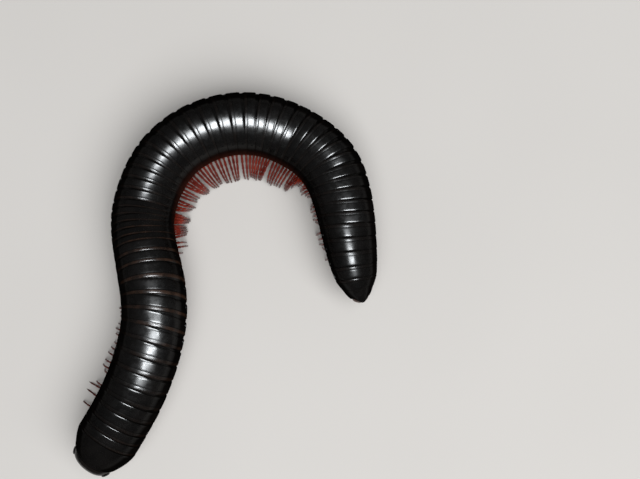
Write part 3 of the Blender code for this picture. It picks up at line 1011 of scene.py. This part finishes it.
def left_foot_at(root):
    """Where a left foot stands along the body: in the group nearest to its root, in the legs' order."""
    ends = [LEFT_FEET[0][0]]
    ends += [(one[1] + other[0]) / 2 for one, other in zip(LEFT_FEET, LEFT_FEET[1:])]
    ends.append(LEFT_FEET[-1][1])
    for (start, end), low, high in zip(LEFT_FEET, ends, ends[1:]):
        if low <= root < high:
            return start + (end - start) * (root - low) / (high - low)
    return None


def leg_bunches():
    """Ends of the bunches that the legs lean together in, with how strongly each is drawn."""
    place = 0.0
    bunches = []
    while place < PLAN.length:
        length = rng.uniform(*BUNCH_LENGTHS)
        bunches.append((place, place + length, rng.uniform(*BUNCH_PULLS)))
        place += length
    return bunches


def legs(red):
    template = leg_template()
    bunches = leg_bunches()
    made = {}
    for length, root in leg_roots():
        start, end, pull = next(bunch for bunch in bunches if bunch[0] <= root < bunch[1])
        inward = (2 * root - start - end) / (end - start)
        for side in (1, -1):
            reach = float(reads(LEG_REACH, root, 1 if side > 0 else 2))
            reach += 0.0004 * (1.0 - abs(inward)) + rng.uniform(-0.0005, 0.0003)
            tip = np.array([side * reach, max(0.0, rng.uniform(-0.0006, 0.0007))])
            foot = left_foot_at(root) if side > 0 else None
            swing = ((start + end) / 2 - root) * pull if foot is None else foot - root
            swing += rng.uniform(-0.0003, 0.0003)
            piece = copied(template, "leg", leg_shape(root, side, tip, swing))
            mark(piece.data, "each", np.full(len(piece.data.vertices), rng.random()))
            made.setdefault(length, []).append(piece)
    for length, pieces in made.items():
        piece = joined(f"legs_{length:02d}", pieces)
        finished(piece, red, [f"trunk_{length:02d}"], 60.0)
    discard(template)


# Collum and head
def collum(shell):
    rear = float(EDGES[0])
    front_girth = float(girth(rear + COLLUM_LENGTH))
    piece = closed_tube("collum_shield", COLLUM_PROFILE, RING_SIDES)
    points = points_of(piece.data)
    share = points[:, 1]
    reach = np.hypot(points[:, 0], points[:, 2])
    turn = np.arctan2(points[:, 0], points[:, 2])
    mark(piece.data, "along", np.minimum(share, 0.5))
    mark(piece.data, "around", turn / math.pi)
    mark(piece.data, "each", np.zeros(len(points)))
    slant = front_girth * reach * math.tan(HEAD_PITCH) * np.clip(share, 0.0, 1.0)
    distance = rear + COLLUM_LENGTH * share - slant + slant * np.cos(turn)
    wide = reach * girth(np.clip(distance, rear, None))
    roll = roll_at(distance)
    where = placed(distance, wide * np.sin(turn - roll), 0.0)
    where[:, 2] = axis_height(distance) + wide * np.cos(turn - roll)
    put_points(piece.data, where)
    finished(piece, shell, ["collum"], 35.0)


def head_frame():
    """Turns the head's own left, up and out into the model's frame."""
    neck = float(EDGES[0]) + COLLUM_LENGTH
    _, forward, left = (row[0] for row in PLAN.at(neck))
    forward = Vector((*forward, 0.0))
    left = Vector((*left, 0.0))
    up = Vector((0.0, 0.0, 1.0))
    out = forward * math.cos(HEAD_PITCH) - up * math.sin(HEAD_PITCH)
    rise = up * math.cos(HEAD_PITCH) + forward * math.sin(HEAD_PITCH)
    half = float(girth(neck)) * COLLUM_MOUTH
    top = Vector(placed(neck, 0.0, axis_height(neck) + half)[0])
    middle = top - rise * half / math.cos(HEAD_PITCH) + out * NECK_GAP
    turn = Matrix((left, rise, out)).transposed().to_4x4()
    return Matrix.Translation(middle) @ turn


HEAD_TURN = head_frame()


def in_head(piece):
    piece.data.transform(HEAD_TURN)
    return piece


def nudge(piece, centre, radius, move):
    """Draws the surface near a place along, softly, as with a sculpting grab."""
    points = points_of(piece.data)
    far = np.linalg.norm(points - np.array(centre), axis=1) / radius
    share = np.clip(1.0 - far, 0.0, 1.0)
    share = share * share * (3.0 - 2.0 * share)
    points += share[:, None] * np.array(move)
    put_points(piece.data, points)


def head_loops():
    """The head's round loops, extruded one from the other and drawn to their sizes, then made squarer."""
    deselect()
    out, wide, high, below = HEAD_LOOPS[0]
    bpy.ops.mesh.primitive_circle_add(vertices=HEAD_SIDES, radius=wide, location=(0, -below, out))
    placed_in_mesh()
    piece = bpy.context.object
    piece.name = "head_capsule"
    edit(piece)
    bpy.ops.mesh.select_all(action="SELECT")
    bpy.ops.transform.resize(value=(1, high / wide, 1), center_override=(0, -below, out))
    for next_out, next_wide, next_high, next_below in HEAD_LOOPS[1:]:
        move = (0, below - next_below, next_out - out)
        bpy.ops.mesh.extrude_edges_move(TRANSFORM_OT_translate={"value": move})
        middle = (0, -next_below, next_out)
        size = (next_wide / wide, next_high / high, 1)
        bpy.ops.transform.resize(value=size, center_override=middle)
        out, wide, high, below = next_out, next_wide, next_high, next_below
    bpy.ops.mesh.merge(type="CENTER")
    ends_closed()
    points = points_of(piece.data)
    outs = [loop[0] for loop in HEAD_LOOPS]
    low = np.interp(points[:, 2], outs, [loop[3] for loop in HEAD_LOOPS])
    turn = np.arctan2(points[:, 1] + low, points[:, 0])
    power = HEAD_SQUARENESS
    squarer = (np.abs(np.cos(turn)) ** power + np.abs(np.sin(turn)) ** power) ** (-1.0 / power)
    points[:, 0] *= squarer
    points[:, 1] = (points[:, 1] + low) * squarer - low
    put_points(piece.data, points)
    rounded = piece.modifiers.new("rounded", "SUBSURF")
    rounded.levels = 2
    rounded.render_levels = 2
    activate(piece)
    bpy.ops.object.modifier_apply(modifier=rounded.name)
    return piece


def capsule(finish):
    """The head capsule: a full brow, hollows for the feelers, and a face drawn down to a notched lip."""
    piece = head_loops()
    nudge(piece, (0.0, 0.0020, 0.0036), 0.0034, (0.0, 0.0, 0.0003))
    nudge(piece, (0.0, -0.0052, 0.0028), 0.0026, (0.0, -0.0002, 0.0007))
    nudge(piece, (0.0, -0.0026, 0.0038), 0.0014, (0.0, 0.0, -0.0002))
    for side in (1, -1):
        root = (side * ANTENNA_ROOT[0], ANTENNA_ROOT[1], ANTENNA_ROOT[2] + 0.0002)
        nudge(piece, root, 0.0012, (0.0, 0.0, 0.00035))
        nudge(piece, root, 0.0008, (0.0, 0.0, -0.0010))
    nudge(piece, (0.0, -0.0062, 0.0030), 0.0008, (0.0, 0.0010, 0.0))
    for place in (-0.00036, 0.0, 0.00036):
        nudge(piece, (place, -0.0055, 0.0032), 0.00022, (0.0, -0.00035, 0.0))
    points = points_of(piece.data)
    mark(piece.data, "across", points[:, 0] * 1000.0)
    mark(piece.data, "upward", points[:, 1] * 1000.0)
    in_head(piece)
    finished(piece, finish, ["head"], 60.0)


def eyes(glass):
    """Each eye is a patch of bead-like single eyes in rows on a low swelling."""
    deselect()
    bpy.ops.mesh.primitive_ico_sphere_add(subdivisions=2, radius=OCELLUS_RADIUS)
    bead = bpy.context.object
    half_high, half_wide, bulge = EYE_SIZE
    for side, word in ((1, "left"), (-1, "right")):
        facing = Vector((side * EYE_FACING[0], EYE_FACING[1], EYE_FACING[2])).normalized()
        across = Vector((0.0, 1.0, 0.0)).cross(facing).normalized()
        upward = facing.cross(across)
        centre = Vector((side * EYE_PLACE[0], EYE_PLACE[1], EYE_PLACE[2]))
        turn = Matrix((across, upward, facing)).transposed().to_4x4()
        base = ball("eye_base", (half_wide, half_high, bulge), (0.0, 0.0, 0.0), 28, 18)
        base.data.transform(Matrix.Translation(centre) @ turn)
        beads = [base]
        rows = int(half_high / OCELLUS_PITCH)
        for row in range(-rows, rows + 1):
            for step in range(-rows, rows + 1):
                x = (step + 0.5 * (row % 2)) * OCELLUS_PITCH
                y = row * OCELLUS_PITCH * 0.87
                inside = 1.0 - (x / half_wide) ** 2 - (y / half_high) ** 2
                if inside < 0.16:
                    continue
                spot = centre + across * x + upward * y + facing * (bulge * math.sqrt(inside) - 0.00003)
                where = np.array(spot)
                beads.append(copied(bead, "bead", lambda points, where=where: points + where))
        piece = joined(f"eye_beads_{word}", beads)
        in_head(piece)
        finished(piece, glass, [f"eye_{word}"], 80.0)
    discard(bead)


def antennae(red):
    """Feelers of seven articles, each a small club, bent a little more at every joint."""
    out = HEAD_TURN.to_3x3() @ Vector((0.0, 0.0, 1.0))
    for side, word in ((1, "left"), (-1, "right")):
        left = HEAD_TURN.to_3x3() @ Vector((side, 0.0, 0.0))
        point = HEAD_TURN @ Vector((side * ANTENNA_ROOT[0], ANTENNA_ROOT[1], ANTENNA_ROOT[2]))
        clubs = []
        for number, (length, outward, downward) in enumerate(ANTENNA_ARTICLES):
            aside, low = math.radians(outward), math.radians(downward)
            flat = out * math.cos(aside) + left * math.sin(aside)
            along = (flat * math.cos(low) + Vector((0.0, 0.0, -1.0)) * math.sin(low)).normalized()
            thick = ANTENNA_RADIUS * (1.0 if 0 < number < 6 else 0.86)
            profile = (
                (0.0, thick * 0.30),
                (length * 0.03, thick * 0.58),
                (length * 0.22, thick * 0.72),
                (length * 0.60, thick * 0.96),
                (length * 0.86, thick * 1.02),
                (length * 0.97, thick * 0.84),
                (length * 1.01, thick * 0.45),
            )
            club = turned("club", profile, ANTENNA_SIDES)
            ends_closed()
            share = points_of(club.data)[:, 1] / length
            mark(club.data, "along", (number + share) / len(ANTENNA_ARTICLES))
            mark(club.data, "joint", np.clip(1.0 - np.minimum(share, 1.0 - share) / 0.10, 0.0, 1.0))
            mark(club.data, "each", np.zeros(len(share)))
            turn = along.to_track_quat("Y", "Z").to_matrix().to_4x4()
            club.data.transform(Matrix.Translation(point) @ turn)
            clubs.append(club)
            point = point + along * length
        piece = joined(f"feeler_{word}", clubs)
        finished(piece, red, [f"antenna_{word}"], 60.0)


def mouthparts(brown):
    """The mandibles' outer plates at the cheeks, and the grooved chin plate under the mouth."""
    for side, word in ((1, "left"), (-1, "right")):
        place = (side * MANDIBLE_PLACE[0], MANDIBLE_PLACE[1], MANDIBLE_PLACE[2])
        piece = ball(f"mandible_plate_{word}", MANDIBLE_SIZE, place, 40, 28)
        nudge(piece, (side * 0.0056, -0.0038, 0.0018), 0.0016, (side * 0.0002, 0, 0))
        in_head(piece)
        finished(piece, brown, [f"mandible_{word}"], 60.0)
    piece = ball("chin_shield", CHIN_SIZE, CHIN_PLACE, 64, 32)
    for place in (-0.0012, 0.0012):
        for step in range(7):
            nudge(piece, (place, -0.0070, 0.0004 + step * 0.0004), 0.0004, (0, 0.00016, 0))
    in_head(piece)
    finished(piece, brown, ["chin_plate"], 60.0)


# Tail
def tail(shell, brown):
    """The last ring drawn out over the anus to a blunt point, the two valves, and the scale."""
    front = float(EDGES[-1])
    piece = closed_tube("tail_cap", CAP_PROFILE, RING_SIDES)
    points = points_of(piece.data)
    turn = np.arctan2(points[:, 0], points[:, 2])
    reach = np.hypot(points[:, 0], points[:, 2])
    back = -points[:, 1]
    mark(piece.data, "along", 0.30 - 0.27 * np.clip(back * 1.6 - 0.6, 0.0, 1.0))
    mark(piece.data, "around", turn / math.pi * 0.5)
    mark(piece.data, "each", np.full(len(points), 0.1))
    lobe = np.clip(back, 0.0, 1.0) ** 2 * np.clip(np.cos(turn), 0.0, 1.0) ** 5
    section = np.maximum(front - back * CAP_END, 0.0)
    wide = reach * girth(section)
    roll = float(roll_at(front))
    side = wide * np.sin(turn - roll)
    up = wide * np.cos(turn - roll) - lobe * CAP_LOBE_DROP
    where = placed(front - back * CAP_END - lobe * CAP_LOBE, side, 0.0)
    where[:, 2] = axis_height(section) + up
    put_points(piece.data, where)
    finished(piece, shell, ["telson"], 50.0)

    def behind(points):
        where = placed(front - CAP_END - GAP * 0.3 - points[:, 1], points[:, 0], 0.0)
        where[:, 2] = axis_height(front) + points[:, 2]
        return where

    for side, word in ((1, "left"), (-1, "right")):
        size = (VALVE_SIZE[0], VALVE_SIZE[2], VALVE_SIZE[1])
        valve = ball(f"anal_valve_{word}", size, (0.0, 0.0, VALVE_RISE), 40, 28)
        edit(valve)
        bpy.ops.mesh.select_all(action="SELECT")
        bpy.ops.mesh.bisect(
            plane_co=(side * GAP / 3, 0, 0), plane_no=(side, 0, 0), clear_inner=True, use_fill=True
        )
        leave_edit()
        nudge(valve, (side * 0.0004, 0.0013, VALVE_RISE), 0.0006, (0, 0.00012, 0))
        put_points(valve.data, behind(points_of(valve.data)))
        faced_outward(valve)
        finished(valve, brown, [f"valve_{word}"], 50.0)
    size = (SCALE_SIZE[0], SCALE_SIZE[2], SCALE_SIZE[1])
    scale = ball("subanal_plate", size, (0, 0.0002, SCALE_DROP), 32, 16)
    put_points(scale.data, behind(points_of(scale.data)))
    faced_outward(scale)
    finished(scale, brown, ["subanal_scale"], 60.0)


# Studio
def studio():
    """A pale floor, one wide soft lamp, and near lamps that only shine on parts of the back."""
    deselect()
    bpy.ops.mesh.primitive_plane_add(size=FLOOR_SIZE, location=(0, 0, 0))
    floor = bpy.context.object
    floor.name = "floor"
    floor.data.materials.append(floor_material())

    def lamp(name, place, size, power, colour):
        light = bpy.data.lights.new(name, "AREA")
        light.shape = "RECTANGLE"
        light.size, light.size_y = size
        light.energy = power
        light.color = colour
        holder = bpy.data.objects.new(name, light)
        holder.location = place
        holder.visible_camera = False
        bpy.context.scene.collection.objects.link(holder)
        return holder

    key = lamp("soft_top", KEY_PLACE, KEY_SIZE, KEY_POWER, KEY_COLOUR)
    key.rotation_euler = (-Vector(KEY_PLACE)).to_track_quat("-Z", "Y").to_euler()
    key.visible_glossy = False
    for number, (x, y, wide, deep, power, lengths) in enumerate(SHINE_LAMPS, 1):
        near = lamp(f"shine_{number}", (x, y, SHINE_HEIGHT), (wide, deep), power, SHINE_COLOUR)
        near.visible_diffuse = False
        lit = bpy.data.collections.new(near.name)
        for length in lengths:
            lit.objects.link(bpy.data.objects[f"rings_{length:02d}"])
        near.light_linking.receiver_collection = lit
    world = bpy.data.worlds.new("studio")
    bpy.context.scene.world = world
    world.use_nodes = True
    sky = world.node_tree.nodes["Background"]
    sky.inputs["Color"].default_value = SKY_COLOUR
    sky.inputs["Strength"].default_value = SKY_STRENGTH
    bpy.context.scene.view_settings.view_transform = "Standard"


def camera():
    data = bpy.data.cameras.new("camera")
    data.sensor_width = SENSOR_WIDTH
    data.lens = CAMERA_FOCUS / IMAGE_WIDTH * SENSOR_WIDTH
    data.clip_start = 0.01
    holder = bpy.data.objects.new("camera", data)
    holder.location = CAMERA_PLACE
    bpy.context.scene.collection.objects.link(holder)
    bpy.context.scene.camera = holder


def build():
    camera()
    cuticle = cuticle_group()
    shell = shell_material(cuticle)
    red = leg_material(cuticle, "leg_red", *LEG_TONES)
    feeler = leg_material(cuticle, "feeler_brown", *FEELER_TONES)
    brown = plain_material(cuticle, "shell_brown", *TAIL_TONES, 0.26)
    mouth = plain_material(cuticle, "mouth_brown", *MOUTH_TONES, 0.25)
    glass = plain_material(cuticle, "eye_grey", *EYE_TONES, 0.16)
    rings(shell)
    legs(red)
    collum(shell)
    capsule(head_material(cuticle))
    eyes(glass)
    antennae(feeler)
    mouthparts(mouth)
    tail(shell, brown)
    studio()


build()
